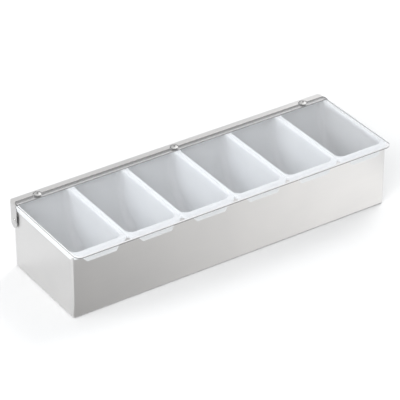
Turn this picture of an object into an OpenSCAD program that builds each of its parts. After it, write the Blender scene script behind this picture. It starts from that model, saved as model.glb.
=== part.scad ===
// Condiment caddy: a long open steel box with six plastic inserts hung side by
// side on its walls, and one clear lid carried by a full-length hinge strip.
// Millimetres. X runs along the length, Y to the back and Z up.
// The origin is the centre of the box's underside.

/* [Steel box] */
// Length of the box along X
box_l = 495; // [300:1:700]
// Depth of the box from front to back
box_w = 147.5; // [110:0.5:200]
// Height of the box's walls
box_h = 94; // [70:0.5:140]
// Thickness of the sheet steel
sheet_t = 0.9; // [0.6:0.1:1.2]
// Outside bend radius of the upright corners
box_corner_r = 3; // [2.5:0.25:6]
// Outside bend radius of the bottom edges
box_bottom_r = 2.5; // [1.5:0.25:2.5]

/* [Inserts] */
// Wall thickness of an insert's tub
tub_wall = 1.7; // [1.2:0.1:2.4]
// Outside radius of the tub's upright corners and of its long curved edges
tub_edge_r = 12; // [6:0.5:16]
// Height of the tub's straight part, from the rim's top down
tub_straight = 17; // [8:0.5:20]
// Fine step by which the round floor stands in from the straight part
tub_step = 0.05; // [0.02:0.01:0.2]
// Clearance between a tub and the box's walls
tub_gap = 0.4; // [0.3:0.05:1]
// Radius rolled on the edge of the mouth
mouth_r = 1.4; // [0.6:0.1:2]
// Thickness of the rim where it lies on the box's wall
rim_t = 3.7; // [3:0.1:5]
// Thickness of the skirt that hooks over the wall
skirt_t = 1; // [0.8:0.1:1.5]
// How far the skirt reaches down below the wall's top
skirt_drop = 3; // [2:0.5:6]
// Play between skirt and wall at the box's two ends
end_play = 0.4; // [0.3:0.05:0.8]
// Play between skirt and wall at the front and at the back
front_play = 1.2; // [1:0.1:2]
// How far the inserts sit forward in that play
insert_forward = 0.8; // [0:0.1:0.9]
// Gap between neighbouring rims
rim_gap = 0.4; // [0.3:0.05:1]
// Corner radius of the rim seen from above
rim_corner_r = 7; // [4:0.5:10]
// Radius on the rim's top edge at its two sides
rim_side_r = 1.5; // [0.5:0.1:2]

/* [Finger lips] */
// Length of a finger lip where it leaves the skirt
lip_l = 52; // [30:1:60]
// Length of a finger lip along its lower edge
lip_low_l = 43.5; // [20:0.5:50]
// How far the lip's bend stands ahead of the skirt
lip_flare = 2.4; // [1.5:0.1:4]
// How much further ahead the lower edge reaches
lip_lean = 2; // [0.5:0.1:4]
// Height of the lip below its bend
lip_h = 4.6; // [3:0.1:10]
// Thickness of the lip
lip_t = 1.5; // [1:0.1:2]
// Height on the skirt over which the lip is rooted
lip_root_h = 2.1; // [1.5:0.1:2.9]
// Height of the lip's bend below the skirt
lip_bend_drop = 0.4; // [0.2:0.1:1]

/* [Lid] */
// Thickness of the clear sheet
lid_t = 3; // [2:0.1:5]
// Gap under the closed lid
lid_gap = 0.3; // [0.2:0.05:0.6]
// How far the lid reaches ahead of the box's front
lid_front = 14; // [8:0.5:25]
// How far the lid reaches past each end of the box
lid_end = 0.4; // [0:0.1:0.6]
// Distance of the lid's rear edge from the box's back
lid_rear = 3.75; // [2:0.25:6]
// Radius of the lid's front corners
lid_front_r = 10; // [3:0.5:20]
// Radius of the lid's rear corners
lid_rear_r = 3; // [1:0.5:6]
// Radius of the tongues round the rivets
tongue_r = 6.5; // [5.5:0.25:8]

/* [Hinge strip] */
// Thickness of the strip's sheet steel
strip_t = 0.8; // [0.6:0.1:1.2]
// Width of the strip from front to back
strip_w = 17.8; // [14:0.1:22]
// How far the strip reaches behind the box
strip_back = 8; // [6:0.25:12]
// Outside bend radius where an ear turns down
ear_bend_r = 2; // [1.5:0.1:3]
// Gap between an ear and the rims' ends
ear_gap = 0.3; // [0.2:0.05:0.6]
// Width of an ear
ear_w = 14.4; // [12:0.1:17]
// How far an ear's front edge stands ahead of the strip's front edge
ear_forward = 2; // [0.5:0.1:4]
// How far an ear reaches below its pivot
ear_below = 11; // [8:0.25:14]
// Length of the cut across each of the strip's two rear corners
strip_corner_cut = 3.5; // [1:0.1:5]
// Depth of the cut across each of the strip's two rear corners
strip_corner_depth = 5.25; // [2:0.25:7]

/* [Pivots and rivets] */
// Distance of the pivot ahead of the box's back
pivot_in = 6.25; // [5:0.25:9]
// Height of the closed lid's underside above the pivot
pivot_drop = 24.5; // [20:0.5:30]
// Clearance of the rims when the lid swings
swing_gap = 0.15; // [0.1:0.05:0.25]
// Diameter of a pivot rivet's shank
pivot_d = 4; // [3:0.25:5]
// Diameter of a pivot rivet's domed head
pivot_head_d = 8; // [7:0.25:11]
// Height of a pivot rivet's domed head
pivot_head_h = 1.6; // [1:0.1:2.5]
// Diameter of a pivot rivet's tail inside the wall
pivot_tail_d = 6.4; // [5.6:0.1:8]
// Thickness of a pivot rivet's tail inside the wall
pivot_tail_t = 0.8; // [0.5:0.1:0.9]
// Radial clearance of a rivet's shank in its holes
shank_gap = 0.05; // [0.02:0.01:0.1]
// Clearance on each side of an ear along its pivot
side_gap = 0.1; // [0.05:0.05:0.2]
// Distance of the outer lid rivets from the middle one
rivet_pitch = 212.8; // [120:0.1:235]
// Diameter of a lid rivet's head
rivet_head_d = 10; // [7:0.25:12]
// Height of a lid rivet's head
rivet_head_h = 1.4; // [0.8:0.1:2]
// Diameter of a lid rivet's shank
rivet_d = 4.8; // [4.2:0.1:6]
// Diameter of the hole in a lid rivet's head
rivet_hole_d = 3; // [2:0.1:3.2]

/* [Hidden] */
$fn = 96;

// Every insert is a node of its own, so their number is fixed.
insert_count = 6;

// Extra length that lets a cutting shape pass clean through a face.
through = 1;

// Step to which worked-out sizes are rounded
size_step = 0.01;

// Share of a rivet head's height that its shank runs up into
shank_in_head = 0.25;

// Rim of one insert, in its own frame with the middle of its plan at zero
row_half = box_l / 2 + end_play + skirt_t;
rim_share_x = (2 * row_half - (insert_count - 1) * rim_gap) / insert_count / 2;
// Rounded down to the step, so that an insert's shapes meet exactly
rim_half_x = floor(rim_share_x / size_step) * size_step;
rim_half_y = box_w / 2 + front_play + skirt_t;
rim_top = box_h + rim_t;
skirt_low = box_h - skirt_drop;
insert_pitch = 2 * rim_half_x + rim_gap;

// Tub of one insert, measured outside at the height of the wall's top
tub_half_x = rim_half_x - skirt_t - end_play - sheet_t - tub_gap;
tub_half_y = box_w / 2 - sheet_t - tub_gap - insert_forward;
tub_axis_z = rim_top - tub_straight;

// Lid and hinge strip
lid_low = rim_top + lid_gap;
lid_top = lid_low + lid_t;
lid_half_x = box_l / 2 + lid_end;
lid_front_y = -box_w / 2 - lid_front;
lid_rear_y = box_w / 2 - lid_rear;
strip_top = lid_low + strip_t;
strip_rear_y = box_w / 2 + strip_back;
strip_front_y = strip_rear_y - strip_w;
ear_in_x = row_half + ear_gap;
ear_out_x = ear_in_x + strip_t;
ear_front_y = strip_front_y - ear_forward;
ear_rear_y = ear_front_y + ear_w;
// Height where the ear's sloping rear shoulder ends
ear_shoulder_z = strip_top - ear_bend_r - (strip_rear_y - ear_rear_y);

// Pivot
pivot_y = box_w / 2 - pivot_in;
pivot_z = lid_low - pivot_drop;
ear_low = pivot_z - ear_below;
wall_in_x = box_l / 2 - sheet_t;
spacer_t = ear_in_x - box_l / 2 - side_gap;

// The lid's underside stays pivot_drop away from the pivot while it swings.
// The rim's front and back edges are rounded just enough to stay inside that
// circle: this is the radius whose far side lies swing_gap short of it.
rim_reach = rim_half_y - insert_forward - pivot_y;
rim_rise = rim_top - pivot_z;
swing_r = pivot_drop - swing_gap;
swing_b = rim_reach + rim_rise - swing_r;
swing_c = pow(rim_reach, 2) + pow(rim_rise, 2) - pow(swing_r, 2);
swing_edge_r = swing_b - sqrt(pow(swing_b, 2) - swing_c);
rim_edge_r = ceil(swing_edge_r / size_step) * size_step;

// Lid rivets
rivet_tail_t = strip_t / 2;
rivet_tail_d = rivet_d + 2;
rivet_hole_depth = rivet_head_h + lid_t / 2;

// Profiles

// Rectangle about zero with round corners
module rounded_rect(half_x, half_y, r) {
    square([2 * half_x, 2 * (half_y - r)], center = true);
    square([2 * (half_x - r), 2 * half_y], center = true);
    for (sx = [-1, 1])
        for (sy = [-1, 1])
            translate([sx * (half_x - r), sy * (half_y - r)])
                circle(r);
}

// Outline that stands on low, reaches up to top and has two round shoulders
module shouldered(half, low, top, r) {
    translate([-half, low])
        square([2 * half, top - r - low]);
    translate([-(half - r), low])
        square([2 * (half - r), top - low]);
    for (s = [-1, 1])
        translate([s * (half - r), top - r])
            circle(r);
}

// Half of the steel box's section: x is counted from the centre of its corners
module tray_section(corner_r, low, high, floor_r) {
    translate([0, low])
        square([corner_r - floor_r, high - low]);
    translate([0, low + floor_r])
        square([corner_r, high - low - floor_r]);
    intersection() {
        translate([corner_r - floor_r, low + floor_r])
            circle(floor_r);
        translate([0, low])
            square([corner_r, 2 * floor_r]);
    }
}

// Half of the mouth's section, with its edge rolled outwards at the top
module mouth_section(corner_r, low, top, edge_r) {
    translate([0, low])
        square([corner_r, top + through - low]);
    difference() {
        translate([0, top - edge_r])
            square([corner_r + edge_r, edge_r + through]);
        translate([corner_r + edge_r, top - edge_r])
            circle(edge_r);
    }
}

// Sweeps

// Solid whose half section, drawn by the child, runs round a rounded rectangle
module swept_block(half_x, half_y, corner_r, low, high) {
    cx = half_x - corner_r;
    cy = half_y - corner_r;
    for (quarter = [0 : 3]) {
        sx = (quarter == 0 || quarter == 3) ? 1 : -1;
        sy = quarter < 2 ? 1 : -1;
        translate([sx * cx, sy * cy, 0])
            rotate([0, 0, 90 * quarter])
                rotate_extrude(angle = 90)
                    children();
    }
    for (turn = [0, 180]) {
        rotate([0, 0, turn])
            translate([cx, cy, 0])
                rotate([90, 0, 0])
                    linear_extrude(2 * cy)
                        children();
        rotate([0, 0, turn + 90])
            translate([cy, cx, 0])
                rotate([90, 0, 0])
                    linear_extrude(2 * cx)
                        children();
    }
    translate([-cx, -cy, low])
        cube([2 * cx, 2 * cy, high - low]);
}

// Extrudes a front view, x and height, along the depth
module along_y(front, back) {
    translate([0, back, 0])
        rotate([90, 0, 0])
            linear_extrude(back - front)
                children();
}

// Extrudes a side view, y and height, along the length
module along_x(left, right) {
    translate([left, 0, 0])
        rotate([90, 0, 90])
            linear_extrude(right - left)
                children();
}

// Steel box

module tray(half_x, half_y, corner_r, low, high, floor_r) {
    swept_block(half_x, half_y, corner_r, low, high)
        tray_section(corner_r, low, high, floor_r);
}

module box_shell() {
    color("lightsteelblue")
        difference() {
            tray(box_l / 2, box_w / 2, box_corner_r, 0, box_h, box_bottom_r);
            tray(
                box_l / 2 - sheet_t, box_w / 2 - sheet_t, box_corner_r - sheet_t,
                sheet_t, box_h + through, box_bottom_r - sheet_t
            );
            for (side = [-1, 1])
                translate([side * box_l / 2, pivot_y, pivot_z])
                    rotate([0, 90, 0])
                        cylinder(
                            h = 2 * (sheet_t + through), d = pivot_d + 2 * shank_gap, center = true
                        );
        }
}

// Inserts

// Half drum lying along X that closes a tub below its straight part
module round_floor(half_x, half_y, edge_r) {
    translate([0, 0, tub_axis_z])
        rotate([0, 90, 0])
            rotate([0, 0, -90])
                rotate_extrude(angle = 180)
                    drum_section(half_x - tub_step, half_y - tub_step, edge_r - tub_step);
}

// Half section of a drum with rounded rims: x is the radius, y runs along its axis
module drum_section(half_l, r, edge_r) {
    translate([0, -half_l])
        square([r - edge_r, 2 * half_l]);
    translate([0, -half_l + edge_r])
        square([r, 2 * (half_l - edge_r)]);
    for (s = [-1, 1])
        translate([r - edge_r, s * (half_l - edge_r)])
            circle(edge_r);
}

// Outside of the tub, up into the rim
module tub_outside() {
    round_floor(tub_half_x, tub_half_y, tub_edge_r);
    translate([0, 0, tub_axis_z])
        linear_extrude(box_h + rim_t / 2 - tub_axis_z)
            rounded_rect(tub_half_x, tub_half_y, tub_edge_r);
}

// Space inside the tub, up through its mouth
module tub_inside() {
    half_x = tub_half_x - tub_wall;
    half_y = tub_half_y - tub_wall;
    edge_r = tub_edge_r - tub_wall;
    round_floor(half_x, half_y, edge_r);
    swept_block(half_x, half_y, edge_r, tub_axis_z, rim_top + through)
        mouth_section(edge_r, tub_axis_z, rim_top, mouth_r);
}

// Rim with its skirt: plan, side view and front view cut each other
module insert_rim() {
    difference() {
        intersection() {
            translate([0, 0, skirt_low])
                linear_extrude(rim_top - skirt_low)
                    rounded_rect(rim_half_x, rim_half_y, rim_corner_r);
            along_x(-rim_half_x, rim_half_x)
                shouldered(rim_half_y, skirt_low, rim_top, rim_edge_r);
            along_y(-rim_half_y, rim_half_y)
                shouldered(rim_half_x, skirt_low, rim_top, rim_side_r);
        }
        translate([0, 0, skirt_low - through])
            linear_extrude(box_h - skirt_low + through)
                rounded_rect(rim_half_x - skirt_t, rim_half_y - skirt_t, rim_corner_r - skirt_t);
        // slots that let the box's front and back walls pass under the rim
        for (y = [-rim_half_y + skirt_t, tub_half_y])
            translate([-rim_half_x - through, y, skirt_low - through])
                cube([
                    2 * (rim_half_x + through),
                    rim_half_y - skirt_t - tub_half_y,
                    box_h - skirt_low + through
                ]);
    }
}

// Lip under the front skirt, for lifting one insert out
module finger_lip() {
    bend_y = -rim_half_y - lip_flare;
    bend_z = skirt_low - lip_bend_drop;
    low_z = bend_z - lip_h;
    root_z = skirt_low + lip_root_h;
    intersection() {
        along_x(-lip_l / 2, lip_l / 2)
            polygon([
                [-rim_half_y, root_z],
                [bend_y, bend_z],
                [bend_y - lip_lean, low_z],
                [bend_y - lip_lean + lip_t, low_z],
                [bend_y + lip_t, bend_z - lip_t / 2],
                [-rim_half_y + skirt_t, skirt_low],
                [-rim_half_y + skirt_t, root_z]
            ]);
        along_y(bend_y - lip_lean - through, -rim_half_y + skirt_t)
            polygon([
                [-lip_low_l / 2, low_z],
                [lip_low_l / 2, low_z],
                [lip_l / 2, bend_z],
                [lip_l / 2, root_z],
                [-lip_l / 2, root_z],
                [-lip_l / 2, bend_z]
            ]);
    }
}

module insert(number) {
    x = (number - (insert_count + 1) / 2) * insert_pitch;
    color("white")
        translate([x, -insert_forward, 0])
            difference() {
                union() {
                    tub_outside();
                    insert_rim();
                    finger_lip();
                }
                tub_inside();
            }
}

module insert_1() { insert(1); }
module insert_2() { insert(2); }
module insert_3() { insert(3); }
module insert_4() { insert(4); }
module insert_5() { insert(5); }
module insert_6() { insert(6); }

// Lid

// Places the child at each of the three lid rivets
module at_rivets() {
    for (i = [-1 : 1])
        translate([i * rivet_pitch, lid_rear_y, 0])
            children();
}

module lid_plan() {
    front_y = lid_front_y + lid_front_r;
    rear_y = lid_rear_y - lid_rear_r;
    translate([-lid_half_x, front_y])
        square([2 * lid_half_x, rear_y - front_y]);
    translate([-lid_half_x + lid_front_r, lid_front_y])
        square([2 * (lid_half_x - lid_front_r), lid_front_r]);
    translate([-lid_half_x + lid_rear_r, rear_y])
        square([2 * (lid_half_x - lid_rear_r), lid_rear_r]);
    for (s = [-1, 1]) {
        translate([s * (lid_half_x - lid_front_r), front_y])
            circle(lid_front_r);
        translate([s * (lid_half_x - lid_rear_r), rear_y])
            circle(lid_rear_r);
    }
    at_rivets()
        circle(tongue_r);
}

module lid() {
    color([0.85, 0.9, 0.92, 0.35])
        difference() {
            translate([0, 0, lid_low])
                linear_extrude(lid_t)
                    lid_plan();
            // rebate that takes the hinge strip flush with the underside
            translate([-lid_half_x - through, strip_front_y - lid_gap, lid_low - through])
                cube([2 * (lid_half_x + through), strip_w, strip_t + through]);
            at_rivets()
                translate([0, 0, lid_low - through])
                    cylinder(h = lid_t + 2 * through, d = rivet_d + 2 * shank_gap);
        }
}

// Hinge strip with its two ears

module rail_front_view() {
    difference() {
        shouldered(ear_out_x, ear_low, strip_top, ear_bend_r);
        shouldered(ear_in_x, ear_low - through, lid_low, ear_bend_r - strip_t);
    }
}

module rail_side_view() {
    end_r = ear_w / 2;
    end_z = ear_low + end_r;
    bend_z = strip_top - ear_bend_r;
    translate([strip_front_y, bend_z])
        square([strip_w, ear_bend_r]);
    polygon([
        [strip_front_y, bend_z],
        [ear_front_y, bend_z - ear_forward],
        [ear_front_y, end_z],
        [ear_rear_y, end_z],
        [ear_rear_y, ear_shoulder_z],
        [strip_rear_y, bend_z]
    ]);
    translate([ear_front_y + end_r, end_z])
        circle(end_r);
}

// Plan of the corner that is cut off the strip at its right rear end
module rail_corner_cut() {
    polygon([
        [ear_out_x - strip_corner_cut, strip_rear_y + through],
        [ear_out_x - strip_corner_cut, strip_rear_y],
        [ear_out_x, strip_rear_y - strip_corner_depth],
        [ear_out_x + through, strip_rear_y - strip_corner_depth],
        [ear_out_x + through, strip_rear_y + through]
    ]);
}

module hinge_rail() {
    color("silver")
        difference() {
            intersection() {
                along_y(ear_front_y, strip_rear_y)
                    rail_front_view();
                along_x(-ear_out_x, ear_out_x)
                    rail_side_view();
            }
            for (side = [-1, 1])
                translate([side * ear_out_x, pivot_y, pivot_z])
                    rotate([0, 90, 0])
                        cylinder(
                            h = 2 * (strip_t + through), d = pivot_d + 2 * shank_gap, center = true
                        );
            for (side = [0, 1])
                mirror([side, 0, 0])
                    translate([0, 0, ear_shoulder_z])
                        linear_extrude(strip_top + through - ear_shoulder_z)
                            rail_corner_cut();
            at_rivets() {
                translate([0, 0, lid_low - through])
                    cylinder(h = strip_t + 2 * through, d = rivet_d + 2 * shank_gap);
                translate([0, 0, lid_low - through])
                    cylinder(h = rivet_tail_t + through, d = rivet_tail_d + 2 * shank_gap);
            }
        }
}

// Rivets and spacers

// Round head of diameter d and height h that stands on zero
module dome(d, h) {
    ball_r = (pow(d / 2, 2) + pow(h, 2)) / (2 * h);
    intersection() {
        translate([0, 0, h - ball_r])
            sphere(ball_r);
        translate([-d, -d, 0])
            cube([2 * d, 2 * d, h + through]);
    }
}

module lid_rivets() {
    color("gainsboro")
        at_rivets()
            difference() {
                union() {
                    translate([0, 0, lid_low])
                        cylinder(h = lid_t + shank_in_head * rivet_head_h, d = rivet_d);
                    translate([0, 0, lid_low])
                        cylinder(h = rivet_tail_t, d = rivet_tail_d);
                    translate([0, 0, lid_top])
                        dome(rivet_head_d, rivet_head_h);
                }
                translate([0, 0, lid_top + rivet_head_h - rivet_hole_depth])
                    cylinder(h = rivet_hole_depth + through, d = rivet_hole_d);
            }
}

// Puts a child drawn along +Z onto the pivot's axis at the left or right end
module on_pivot(side) {
    translate([0, pivot_y, pivot_z])
        rotate([0, 90 * side, 0])
            children();
}

module pivot_rivet(side) {
    head_x = ear_out_x + side_gap;
    tail_x = wall_in_x - pivot_tail_t;
    color("gainsboro")
        on_pivot(side) {
            translate([0, 0, tail_x])
                cylinder(h = head_x - tail_x + shank_in_head * pivot_head_h, d = pivot_d);
            translate([0, 0, tail_x])
                cylinder(h = pivot_tail_t, d = pivot_tail_d);
            translate([0, 0, head_x])
                dome(pivot_head_d, pivot_head_h);
        }
}

module pivot_spacer(side) {
    color("dimgray")
        on_pivot(side)
            translate([0, 0, box_l / 2])
                difference() {
                    cylinder(h = spacer_t, d = pivot_head_d);
                    translate([0, 0, -through])
                        cylinder(h = spacer_t + 2 * through, d = pivot_d + 2 * shank_gap);
                }
}

module pivot_rivet_left() { pivot_rivet(-1); }
module pivot_rivet_right() { pivot_rivet(1); }
module pivot_spacer_left() { pivot_spacer(-1); }
module pivot_spacer_right() { pivot_spacer(1); }

box_shell();
insert_1();
insert_2();
insert_3();
insert_4();
insert_5();
insert_6();
lid();
hinge_rail();
lid_rivets();
pivot_rivet_left();
pivot_rivet_right();
pivot_spacer_left();
pivot_spacer_right();
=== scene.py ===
"""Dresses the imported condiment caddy: finishes, studio and camera."""

import logging
import math
from dataclasses import dataclass, field
from enum import Enum

import bpy
from mathutils import Matrix, Vector


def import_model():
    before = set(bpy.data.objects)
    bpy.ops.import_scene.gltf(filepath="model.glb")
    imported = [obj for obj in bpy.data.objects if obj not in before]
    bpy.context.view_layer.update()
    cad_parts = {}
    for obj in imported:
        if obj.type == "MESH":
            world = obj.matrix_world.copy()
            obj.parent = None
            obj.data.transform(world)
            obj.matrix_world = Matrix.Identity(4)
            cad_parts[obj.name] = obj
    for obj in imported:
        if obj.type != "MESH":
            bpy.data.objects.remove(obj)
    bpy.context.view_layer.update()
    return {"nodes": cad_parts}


LOG = logging.getLogger("condiment_caddy")

Colour = tuple[float, float, float]
Nodes = dict[str, bpy.types.Object]
Socket = bpy.types.NodeSocket

# Smooth noise seldom leaves this range, so it is taken as the whole of its span.
NOISE_LOW = 0.3
NOISE_HIGH = 0.7

# Refractive index of the clear and the white plastic.
PLASTIC_IOR = 1.49

WHITE: Colour = (1.0, 1.0, 1.0)
BLACK: Colour = (0.0, 0.0, 0.0)


def grey(level: float, warmth: float = 0.0) -> Colour:
    """Gives a neutral colour, or a slightly warm one.

    Args:
        level: Linear brightness from 0 to 1.
        warmth: Share by which red rises and blue falls.

    Returns:
        The linear colour.
    """
    return (level * (1 + warmth), level, level * (1 - warmth))


def scaled(colour: Colour, level: float) -> Colour:
    """Darkens a colour.

    Args:
        colour: Linear colour.
        level: Factor on all three channels.

    Returns:
        The darker colour.
    """
    red, green, blue = colour
    return (red * level, green * level, blue * level)


class Grain(Enum):
    """Direction of the fine lines that rolling or brushing leaves in a sheet.

    Each value stretches the noise along the three axes.
    """

    ALONG_X = (0.02, 1.0, 1.0)
    NONE = (1.0, 1.0, 1.0)


@dataclass(frozen=True)
class NodeSheet:
    """Short forms for placing and joining shader nodes.

    Attributes:
        owner: Material or world whose node tree is written.
    """

    owner: bpy.types.ID

    @staticmethod
    def fresh(owner: bpy.types.ID) -> "NodeSheet":
        """Starts an empty node tree.

        Args:
            owner: New material or world.

        Returns:
            The sheet of its node tree.
        """
        owner.use_nodes = True
        owner.node_tree.nodes.clear()
        return NodeSheet(owner)

    @staticmethod
    def material(name: str) -> "NodeSheet":
        """Starts a new material.

        Args:
            name: Name of the material.

        Returns:
            The sheet of its empty node tree.
        """
        return NodeSheet.fresh(bpy.data.materials.new(name))

    def add(self, kind: str, **inputs: object) -> bpy.types.Node:
        """Places a node and sets its named inputs.

        Args:
            kind: Blender's name of the node type.
            **inputs: Input values, with spaces written as underscores.

        Returns:
            The new node.
        """
        node = self.owner.node_tree.nodes.new(kind)
        for key, value in inputs.items():
            node.inputs[key.replace("_", " ")].default_value = value
        return node

    def link(self, source: Socket, target: Socket) -> None:
        """Joins an output to an input.

        Args:
            source: Output of a node.
            target: Input of another node.
        """
        self.owner.node_tree.links.new(source, target)

    def feed(self, value: Socket | float, target: Socket) -> None:
        """Gives an input a number or another node's output.

        Args:
            value: Output or number.
            target: Input that takes it.
        """
        if isinstance(value, (int, float)):
            target.default_value = value
        else:
            self.link(value, target)

    def math(self, operation: str, first: Socket | float, second: Socket | float = 0.0) -> Socket:
        """Joins two values by a sum, a product or a comparison.

        Args:
            operation: Blender's name of the operation.
            first: Output or number.
            second: Output or number, left out where the operation takes one value.

        Returns:
            The result.
        """
        node = self.add("ShaderNodeMath")
        node.operation = operation
        self.feed(first, node.inputs[0])
        self.feed(second, node.inputs[1])
        return node.outputs["Value"]

    def remap(
        self, source: Socket, start: tuple[float, float], end: tuple[float, float]
    ) -> Socket:
        """Maps one range of values onto another.

        Args:
            source: Value that is mapped.
            start: Range that is read.
            end: Range that is given.

        Returns:
            The mapped value.
        """
        node = self.add(
            "ShaderNodeMapRange",
            From_Min=start[0],
            From_Max=start[1],
            To_Min=end[0],
            To_Max=end[1],
        )
        self.link(source, node.inputs["Value"])
        return node.outputs["Result"]

    def axis(self, name: str, kind: str = "Object") -> Socket:
        """Gives one part of the place, or of the direction, on the object.

        Args:
            name: "X", "Y" or "Z".
            kind: "Object" for the place in metres, "Normal" for the direction.

        Returns:
            The part along that axis.
        """
        coordinates = self.add("ShaderNodeTexCoord")
        parts = self.add("ShaderNodeSeparateXYZ")
        self.link(coordinates.outputs[kind], parts.inputs["Vector"])
        return parts.outputs[name]

    def noise(self, scale: float, detail: float, grain: Grain = Grain.NONE) -> Socket:
        """Adds smooth noise fixed to the object.

        Args:
            scale: Waves per metre before stretching.
            detail: Octaves of finer noise.
            grain: Direction in which the noise is stretched.

        Returns:
            The noise, from 0 to 1.
        """
        coordinates = self.add("ShaderNodeTexCoord")
        mapping = self.add("ShaderNodeMapping", Scale=grain.value)
        self.link(coordinates.outputs["Object"], mapping.inputs["Vector"])
        node = self.add("ShaderNodeTexNoise", Scale=scale, Detail=detail, Roughness=0.55)
        self.link(mapping.outputs["Vector"], node.inputs["Vector"])
        return node.outputs["Fac"]

    def spread(self, noise: Socket, low: float = 0.0, high: float = 1.0) -> Socket:
        """Maps the span of a noise onto a range of values.

        Args:
            noise: Noise from 0 to 1.
            low: Value at the noise's low end.
            high: Value at the noise's high end.

        Returns:
            The mapped value.
        """
        return self.remap(noise, (NOISE_LOW, NOISE_HIGH), (low, high))

    def tint(self, share: Socket, low: Colour, high: Colour) -> Socket:
        """Blends two colours by a value.

        Args:
            share: Value from 0 to 1.
            low: Colour at 0.
            high: Colour at 1.

        Returns:
            The blended colour.
        """
        node = self.add("ShaderNodeMix")
        node.data_type = "RGBA"
        colours = [socket for socket in node.inputs if socket.type == "RGBA"]
        for socket, colour in zip(colours, (low, high)):
            socket.default_value = (*colour, 1.0)
        self.link(share, node.inputs["Factor"])
        return next(socket for socket in node.outputs if socket.type == "RGBA")

    def mix(self, share: Socket | float, first: Socket, second: Socket) -> Socket:
        """Blends two shaders.

        Args:
            share: Share of the second shader, from 0 to 1.
            first: Shader at 0.
            second: Shader at 1.

        Returns:
            The blended shader.
        """
        node = self.add("ShaderNodeMixShader")
        self.feed(share, node.inputs["Fac"])
        self.link(first, node.inputs[1])
        self.link(second, node.inputs[2])
        return node.outputs["Shader"]

    def clear(self, colour: Colour) -> Socket:
        """Adds a shader that lets light pass straight through.

        Args:
            colour: Share of the light that passes, for each channel.

        Returns:
            The shader.
        """
        return self.add("ShaderNodeBsdfTransparent", Color=(*colour, 1.0)).outputs["BSDF"]

    def glow(self, colour: Colour, strength: Socket | float) -> Socket:
        """Adds a shader that shines by itself.

        Args:
            colour: Colour of the light.
            strength: Output or number.

        Returns:
            The shader.
        """
        node = self.add("ShaderNodeEmission", Color=(*colour, 1.0))
        self.feed(strength, node.inputs["Strength"])
        return node.outputs["Emission"]

    def bump(self, height: Socket, depth: float, strength: float) -> Socket:
        """Turns a height into a bumped normal.

        Args:
            height: Height from 0 to 1.
            depth: Height in metres of a full step.
            strength: Share of the bump that is used.

        Returns:
            The normal.
        """
        node = self.add("ShaderNodeBump", Strength=strength, Distance=depth)
        self.link(height, node.inputs["Height"])
        return node.outputs["Normal"]

    def finish(self, shader: Socket) -> bpy.types.ID:
        """Sends a shader to the surface output.

        Args:
            shader: Shader of the whole surface.

        Returns:
            The finished material or world.
        """
        kind = "World" if isinstance(self.owner, bpy.types.World) else "Material"
        output = self.add(f"ShaderNodeOutput{kind}")
        self.link(shader, output.inputs["Surface"])
        return self.owner


@dataclass(frozen=True)
class SheetSteel:
    """Rolled stainless sheet with a soft grain.

    Attributes:
        name: Material's name.
        level: Linear brightness of the metal.
        roughness: Lowest roughness.
        grain: Direction of the fine lines.
        tone_swing: Share by which cloudy patches are darker or brighter.
        warmth: Warmth of the darker and of the brighter patches.
        rough_ratio: Highest roughness over the lowest.
        line_scale: Grain lines per metre.
        line_depth: Depth of the grain in metres.
    """

    name: str
    level: float
    roughness: float
    grain: Grain
    tone_swing: float = 0.03
    warmth: tuple[float, float] = (0.004, 0.008)
    rough_ratio: float = 1.35
    line_scale: float = 900.0
    line_depth: float = 0.00002

    def build(self) -> bpy.types.Material:
        """Writes the material.

        Returns:
            Brushed metal with cloudy tone and fine grain.
        """
        sheet = NodeSheet.material(self.name)
        cloud = sheet.noise(scale=9.0, detail=3.0)
        lines = sheet.noise(scale=self.line_scale, detail=4.0, grain=self.grain)
        surface = sheet.add("ShaderNodeBsdfPrincipled", Metallic=1.0, Anisotropic=0.3)
        colour = sheet.tint(
            sheet.spread(cloud),
            grey(self.level * (1 - self.tone_swing), self.warmth[0]),
            grey(self.level * (1 + self.tone_swing), self.warmth[1]),
        )
        sheet.link(colour, surface.inputs["Base Color"])
        rough = sheet.spread(lines, self.roughness, self.roughness * self.rough_ratio)
        sheet.link(rough, surface.inputs["Roughness"])
        normal = sheet.bump(lines, depth=self.line_depth, strength=0.25)
        sheet.link(normal, surface.inputs["Normal"])
        return sheet.finish(surface.outputs["BSDF"])


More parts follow.
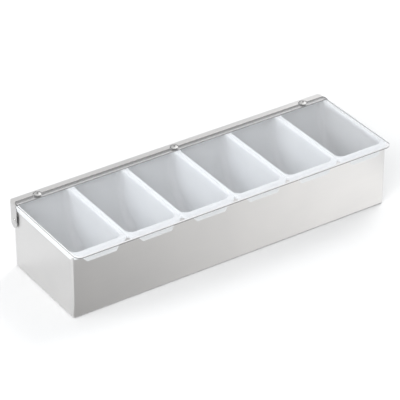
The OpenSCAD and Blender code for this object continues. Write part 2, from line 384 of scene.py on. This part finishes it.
@dataclass(frozen=True)
class MouldedPlastic:
    """White moulded plastic that lets some light through its thin walls.

    Attributes:
        name: Material's name.
        level: Linear brightness of the plastic.
        tints: Tint of the darker and of the brighter patches.
        passed: Share of the light that goes through.
        texture_depth: Depth of the moulded texture in metres.
        lip_clear: How clear the thin finger lip is.
        lip_tint: Tint of the light that passes the lip.
        lip_top: Height below which the lip's clearness starts, in metres.
        lip_back: Place on Y in front of which the lip lies, in metres.
    """

    name: str = "white_moulded_plastic"
    level: float = 0.97
    tints: tuple[Colour, Colour] = ((0.98, 0.99, 0.998), (0.986, 0.995, 1.0))
    passed: float = 0.63
    texture_depth: float = 0.00001
    lip_clear: float = 0.4
    lip_tint: Colour = (0.97, 0.98, 0.99)
    lip_top: float = 0.091
    lip_back: float = -0.0772

    def build(self) -> bpy.types.Material:
        """Writes the material.

        Returns:
            Soft glossy white, clearer on the thin lips.
        """
        sheet = NodeSheet.material(self.name)
        cloud = sheet.noise(scale=14.0, detail=2.0)
        texture = sheet.noise(scale=1600.0, detail=2.0)
        colour = sheet.tint(
            sheet.spread(cloud), *(scaled(tint, self.level) for tint in self.tints)
        )
        body = sheet.add("ShaderNodeBsdfPrincipled", Roughness=0.34, IOR=PLASTIC_IOR)
        sheet.link(colour, body.inputs["Base Color"])
        normal = sheet.bump(texture, depth=self.texture_depth, strength=0.2)
        sheet.link(normal, body.inputs["Normal"])
        through = sheet.add("ShaderNodeBsdfTranslucent")
        sheet.link(colour, through.inputs["Color"])
        solid = sheet.mix(self.passed, body.outputs["BSDF"], through.outputs["BSDF"])
        lip = sheet.mix(self._lip_mask(sheet), solid, sheet.clear(self.lip_tint))
        return sheet.finish(lip)

    def _lip_mask(self, sheet: NodeSheet) -> Socket:
        """Marks the finger lips by their place on the object.

        Args:
            sheet: Node tree that is written.

        Returns:
            The lip's clearness on the lips and 0 elsewhere.
        """
        below = sheet.math("LESS_THAN", sheet.axis("Z"), self.lip_top)
        ahead = sheet.math("LESS_THAN", sheet.axis("Y"), self.lip_back)
        both = sheet.math("MULTIPLY", below, ahead)
        return sheet.math("MULTIPLY", both, self.lip_clear)


@dataclass(frozen=True)
class ClearSheet:
    """Clear plastic sheet: see-through faces with a light sheen, and cut edges with a painted dark
    line for their shade and a painted highlight along their top.

    Attributes:
        name: Material's name.
        tint: Light that passes each face, for each channel.
        sheen: Lowest roughness of the gloss.
        haze_ratio: Highest roughness over the lowest.
        both_faces: Factor that counts the reflection of the sheet's second face too.
        painted_edge_shade: Brightness of the painted shade on the cut edge's lower part.
        painted_edge_highlight: Brightness of the painted highlight on the cut edge's upper part.
        edge_highlight_height: Height between the painted shade and the painted highlight, in
            metres on the closed lid.
        edge_shade_rear: Place on Y behind which the whole edge carries the painted shade, in
            metres.
        painted_edge_share: Share of the painted edge shade and highlight on an upright edge.
        edge_tilt: Upward parts of the direction where the painted edge shade and highlight start
            and are full.
    """

    name: str = "clear_plastic_sheet"
    tint: Colour = (0.972, 0.973, 0.979)
    sheen: float = 0.06
    haze_ratio: float = 1.6
    both_faces: float = 1.8
    # Painted shade and highlight: the cut edges get dark grey below edge_highlight_height and on
    # the rear edge to stand in for their shade, and light grey above it for a highlight.
    painted_edge_shade: float = 0.1
    painted_edge_highlight: float = 0.75
    edge_highlight_height: float = 0.0993
    edge_shade_rear: float = 0.06
    painted_edge_share: float = 0.85
    edge_tilt: tuple[float, float] = (0.6, 0.2)

    def build(self) -> bpy.types.Material:
        """Writes the material.

        Returns:
            See-through gloss on the flat faces, and a painted dark line with a painted highlight
            on the cut edges.
        """
        sheet = NodeSheet.material(self.name)
        both = sheet.mix(self._painted_edge_mask(sheet), self._face(sheet), self._painted_edge(sheet))
        return sheet.finish(both)

    def _face(self, sheet: NodeSheet) -> Socket:
        """Writes the flat faces, which reflect on their outer side only.

        Args:
            sheet: Node tree that is written.

        Returns:
            See-through shader with a light sheen.
        """
        haze = sheet.noise(scale=30.0, detail=3.0)
        gloss = sheet.add("ShaderNodeBsdfGlossy", Color=(*WHITE, 1.0))
        rough = sheet.spread(haze, self.sheen, self.sheen * self.haze_ratio)
        sheet.link(rough, gloss.inputs["Roughness"])
        fresnel = sheet.add("ShaderNodeFresnel", IOR=PLASTIC_IOR)
        side = sheet.add("ShaderNodeNewGeometry")
        outer = sheet.math("SUBTRACT", 1.0, side.outputs["Backfacing"])
        one_face = sheet.math("MULTIPLY", fresnel.outputs["Fac"], outer)
        share = sheet.math("MULTIPLY", one_face, self.both_faces)
        return sheet.mix(share, sheet.clear(self.tint), gloss.outputs["BSDF"])

    def _painted_edge(self, sheet: NodeSheet) -> Socket:
        """Writes the cut edges with painted shade below and a painted highlight above.

        Args:
            sheet: Node tree that is written.

        Returns:
            Glossy grey shader.
        """
        # Band along the top of the front and side edges that gets the painted highlight; behind
        # edge_shade_rear the whole edge keeps the painted shade.
        above = sheet.math("GREATER_THAN", sheet.axis("Z"), self.edge_highlight_height)
        ahead = sheet.math("LESS_THAN", sheet.axis("Y"), self.edge_shade_rear)
        highlight_band = sheet.math("MULTIPLY", above, ahead)
        # Painted light in the edge colour: dark grey for the shade, light grey for the highlight.
        colour = sheet.tint(highlight_band, grey(self.painted_edge_shade), grey(self.painted_edge_highlight))
        painted_edge_shader = sheet.add("ShaderNodeBsdfPrincipled", Roughness=0.15, IOR=PLASTIC_IOR)
        sheet.link(colour, painted_edge_shader.inputs["Base Color"])
        return painted_edge_shader.outputs["BSDF"]

    def _painted_edge_mask(self, sheet: NodeSheet) -> Socket:
        """Marks the upright cut edges by the way their faces point.

        Args:
            sheet: Node tree that is written.

        Returns:
            The share of painted edge shade and highlight, 0 on the flats and largest on the cut
            edge.
        """
        flat = sheet.math("ABSOLUTE", sheet.axis("Z", "Normal"))
        return sheet.remap(flat, self.edge_tilt, (0.0, self.painted_edge_share))


@dataclass(frozen=True)
class DarkNylon:
    """Dark moulded washer between an ear and the box.

    Attributes:
        name: Material's name.
        level: Linear brightness of the darkest patches.
        tone_ratio: Brightest patches over the darkest.
        texture_depth: Depth of the moulded texture in metres.
    """

    name: str = "dark_nylon"
    level: float = 0.03
    tone_ratio: float = 1.5
    texture_depth: float = 0.00002

    def build(self) -> bpy.types.Material:
        """Writes the material.

        Returns:
            Dull dark plastic with a fine moulded texture.
        """
        sheet = NodeSheet.material(self.name)
        texture = sheet.noise(scale=1200.0, detail=2.0)
        surface = sheet.add("ShaderNodeBsdfPrincipled", Roughness=0.6)
        colour = sheet.tint(texture, grey(self.level), grey(self.level * self.tone_ratio))
        sheet.link(colour, surface.inputs["Base Color"])
        normal = sheet.bump(texture, depth=self.texture_depth, strength=0.4)
        sheet.link(normal, surface.inputs["Normal"])
        return sheet.finish(surface.outputs["BSDF"])


BOX_STEEL = SheetSteel("box_sheet_steel", level=0.66, roughness=0.3, grain=Grain.ALONG_X)
HINGE_STEEL = SheetSteel("hinge_sheet_steel", level=0.58, roughness=0.26, grain=Grain.ALONG_X)
RIVET_METAL = SheetSteel("rivet_metal_satin", level=0.44, roughness=0.5, grain=Grain.NONE)
PIVOT_METAL = SheetSteel("pivot_metal_polished", level=0.6, roughness=0.14, grain=Grain.NONE)


@dataclass
class Finishes:
    """Every finish of the caddy, built once.

    Attributes:
        box: Steel of the box.
        hinge: Steel of the hinge strip.
        rivet: Metal of the lid's rivets.
        pivot: Brighter metal of the pivot rivets.
        insert: Plastic of the inserts.
        lid: Clear sheet of the lid.
        spacer: Plastic of the pivot spacers.
    """

    box: bpy.types.Material = field(default_factory=BOX_STEEL.build)
    hinge: bpy.types.Material = field(default_factory=HINGE_STEEL.build)
    rivet: bpy.types.Material = field(default_factory=RIVET_METAL.build)
    pivot: bpy.types.Material = field(default_factory=PIVOT_METAL.build)
    insert: bpy.types.Material = field(default_factory=MouldedPlastic().build)
    lid: bpy.types.Material = field(default_factory=ClearSheet().build)
    spacer: bpy.types.Material = field(default_factory=DarkNylon().build)


@dataclass
class SubAssembly:
    """A group of CAD nodes that is dressed together.

    Attributes:
        nodes: CAD nodes of the frame.
        finishes: Finishes of the caddy.
    """

    nodes: Nodes
    finishes: Finishes

    def dress(self, name: str, material: bpy.types.Material) -> None:
        """Gives a CAD node one finish.

        Args:
            name: Name of the node.
            material: Finish for the whole node.
        """
        mesh = self.nodes[name].data
        mesh.materials.clear()
        mesh.materials.append(material)
        LOG.info("dressed %s in %s", name, material.name)


class SteelBox(SubAssembly):
    """The open box of folded sheet."""

    def build(self) -> None:
        """Dresses the box."""
        self.dress("box_shell", self.finishes.box)


class InsertRow(SubAssembly):
    """The row of plastic inserts."""

    COUNT = 6

    def build(self) -> None:
        """Dresses every insert."""
        for number in range(1, self.COUNT + 1):
            self.dress(f"insert_{number}", self.finishes.insert)


class HingedLid(SubAssembly):
    """The clear lid with its hinge strip and rivets."""

    def build(self) -> None:
        """Dresses the lid, the strip and the rivets."""
        self.dress("lid", self.finishes.lid)
        self.dress("hinge_rail", self.finishes.hinge)
        self.dress("lid_rivets", self.finishes.rivet)


class Pivots(SubAssembly):
    """The pivot rivets and their spacers at both ends."""

    def build(self) -> None:
        """Dresses the rivets and the spacers."""
        for side in ("left", "right"):
            self.dress(f"pivot_rivet_{side}", self.finishes.pivot)
            self.dress(f"pivot_spacer_{side}", self.finishes.spacer)


@dataclass(frozen=True)
class SoftLamp:
    """Square soft lamp that looks at the caddy.

    Attributes:
        name: Name of the lamp.
        place: Where it hangs, in metres.
        size: Side of its square in metres.
        power: Watts.
        aim: Point that it looks at, in metres.
    """

    name: str
    place: tuple[float, float, float]
    size: float
    power: float
    aim: tuple[float, float, float] = (0.0, 0.0, 0.05)

    def build(self) -> None:
        """Hangs the lamp and turns it to its aim."""
        data = bpy.data.lights.new(self.name, "AREA")
        data.shape = "SQUARE"
        data.size = self.size
        data.energy = self.power
        lamp = bpy.data.objects.new(self.name, data)
        lamp.location = self.place
        way = Vector(self.aim) - Vector(self.place)
        lamp.rotation_euler = way.to_track_quat("-Z", "Y").to_euler()
        bpy.context.scene.collection.objects.link(lamp)


@dataclass(frozen=True)
class Card:
    """Flat level rectangle of the studio.

    Attributes:
        name: Name of the card.
        left: Lowest X in metres.
        right: Highest X in metres.
        front: Lowest Y in metres.
        back: Highest Y in metres.
        height: Z in metres.
    """

    name: str
    left: float
    right: float
    front: float
    back: float
    height: float

    def build(self, material: bpy.types.Material) -> bpy.types.Object:
        """Lays the card.

        Args:
            material: Finish of the card.

        Returns:
            The new object.
        """
        corners = [
            (self.left, self.front, 0),
            (self.right, self.front, 0),
            (self.right, self.back, 0),
            (self.left, self.back, 0),
        ]
        mesh = bpy.data.meshes.new(self.name)
        mesh.from_pydata(corners, [], [(0, 1, 2, 3)])
        mesh.materials.append(material)
        card = bpy.data.objects.new(self.name, mesh)
        card.location.z = self.height
        bpy.context.scene.collection.objects.link(card)
        return card


@dataclass(frozen=True)
class Studio:
    """White floor, soft lamps, a flag and the world's light.

    Attributes:
        floor: Card that the caddy stands on.
        floor_level: Linear brightness of the floor.
        floor_glow: Light that the floor adds of its own for rays that see it.
        flag: Card before the front face that only the steel's reflection sees.
        flag_levels: Brightness of the flag at its left and at its right.
        flag_colour: Colour of the flag's light.
        world_level: Strength of the light from all round.
        world_colour: Colour of the light from all round.
        lamps: Key lamp at the right rear, broad lamp at the left front and small
            lamp at the left rear.
    """

    floor: Card = Card("studio_floor", -6.0, 6.0, -6.0, 6.0, -0.0002)
    floor_level: float = 0.6
    floor_glow: float = 0.06
    flag: Card = Card("studio_flag", -0.26, 0.3, -0.5, -0.0745, 0.0005)
    flag_levels: tuple[float, float] = (0.475, 1.33)
    flag_colour: Colour = (1.0, 0.993, 0.985)
    world_level: float = 1.0
    world_colour: Colour = (0.97, 0.985, 1.0)
    lamps: tuple[SoftLamp, ...] = (
        SoftLamp("lamp_key", place=(1.6, 0.6, 1.9), size=1.2, power=30.0),
        SoftLamp("lamp_front", place=(-1.6, -1.1, 1.5), size=1.4, power=36.0),
        SoftLamp("lamp_left", place=(-1.9, 0.6, 1.3), size=0.9, power=9.0),
    )

    def build(self) -> None:
        """Makes the floor, the world, the lamps and the flag."""
        self._floor()
        self._world()
        for lamp in self.lamps:
            lamp.build()
        self._flag()

    def _floor(self) -> None:
        """Lays the floor that catches the shadow and looks white to the camera."""
        sheet = NodeSheet.material("studio_floor_white")
        surface = sheet.add("ShaderNodeBsdfDiffuse", Color=(*grey(self.floor_level), 1.0))
        both = sheet.add("ShaderNodeAddShader")
        sheet.link(surface.outputs["BSDF"], both.inputs[0])
        sheet.link(self._seen(sheet, sheet.glow(WHITE, self.floor_glow)), both.inputs[1])
        floor = self.floor.build(sheet.finish(both.outputs["Shader"]))

    def _flag(self) -> None:
        """Lays a flag before the front face that only its reflection sees.

        It is dark at the left and bright at the right, so the steel's tone rises
        along the box.
        """
        sheet = NodeSheet.material("studio_flag_ramp")
        span = (self.flag.left, self.flag.right)
        ramp = sheet.remap(sheet.axis("X"), span, self.flag_levels)
        flag = self.flag.build(sheet.finish(sheet.glow(self.flag_colour, ramp)))
        for ray in ("camera", "diffuse", "transmission", "volume_scatter", "shadow"):
            setattr(flag, f"visible_{ray}", False)

    @staticmethod
    def _seen(sheet: NodeSheet, shader: Socket) -> Socket:
        """Keeps a shader for camera, glossy and transmission rays only.

        Args:
            sheet: Node tree that is written.
            shader: Shader that these rays see.

        Returns:
            The shader, dark for all other rays.
        """
        path = sheet.add("ShaderNodeLightPath")
        first = sheet.math("MAXIMUM", path.outputs["Is Camera Ray"], path.outputs["Is Glossy Ray"])
        second = sheet.math("MAXIMUM", first, path.outputs["Is Transmission Ray"])
        return sheet.mix(second, sheet.glow(BLACK, 0.0), shader)

    def _world(self) -> None:
        """Lights the scene softly and shows white to camera and gloss."""
        sheet = NodeSheet.fresh(bpy.data.worlds.new("studio_world"))
        path = sheet.add("ShaderNodeLightPath")
        seen = sheet.math("MAXIMUM", path.outputs["Is Camera Ray"], path.outputs["Is Glossy Ray"])
        light, white = (
            sheet.add("ShaderNodeBackground", Color=(*colour, 1.0), Strength=strength)
            for colour, strength in ((self.world_colour, self.world_level), (WHITE, 1.0))
        )
        both = sheet.mix(seen, light.outputs["Background"], white.outputs["Background"])
        bpy.context.scene.world = sheet.finish(both)


@dataclass(frozen=True)
class ShotCamera:
    """Camera at the photograph's viewing angle.

    Attributes:
        azimuth: Degrees round the object from the front towards the right.
        elevation: Degrees above the horizon.
        distance: Metres from the origin along the view axis.
        sensor: Width of the sensor in millimetres.
        lens: Focal length for that sensor, in millimetres.
        right: Metres that the camera is slid to its right.
        up: Metres that the camera is slid upwards.
        shift_x: Sideways shift of the frame, as a share of its width.
        reach: Metres to which the camera sees.
    """

    azimuth: float = -33.69
    elevation: float = 32.51
    distance: float = 3.0958
    sensor: float = 36.0
    lens: float = 206.892
    right: float = -0.00194
    up: float = 0.04496
    shift_x: float = -0.00478
    reach: float = 50.0

    def build(self) -> None:
        """Places the camera and makes it the scene's camera."""
        turn, rise = math.radians(self.azimuth), math.radians(self.elevation)
        right = Vector((math.cos(turn), math.sin(turn), 0.0))
        back = Vector(
            (math.sin(turn) * math.cos(rise), -math.cos(turn) * math.cos(rise), math.sin(rise))
        )
        up = back.cross(right)
        place = back * self.distance + right * self.right + up * self.up
        axes = Matrix((right, up, back)).transposed().to_4x4()
        data = bpy.data.cameras.new("shot_camera")
        data.sensor_width = self.sensor
        data.lens = self.lens
        data.shift_x = self.shift_x
        data.clip_end = self.reach
        camera = bpy.data.objects.new("shot_camera", data)
        camera.matrix_world = Matrix.Translation(place) @ axes
        bpy.context.scene.collection.objects.link(camera)
        bpy.context.scene.camera = camera
        LOG.info("camera stands at %s", tuple(round(v, 4) for v in place))


def main() -> None:
    """Loads the frame, dresses every sub-assembly and sets up the shot."""
    logging.basicConfig(level=logging.INFO, format="%(name)s: %(message)s")
    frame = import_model()
    ShotCamera().build()
    nodes: Nodes = frame["nodes"]
    finishes = Finishes()
    for assembly in (SteelBox, InsertRow, HingedLid, Pivots):
        assembly(nodes, finishes).build()
    Studio().build()
    bpy.context.scene.view_settings.view_transform = "Standard"


if __name__ == "__main__":
    main()
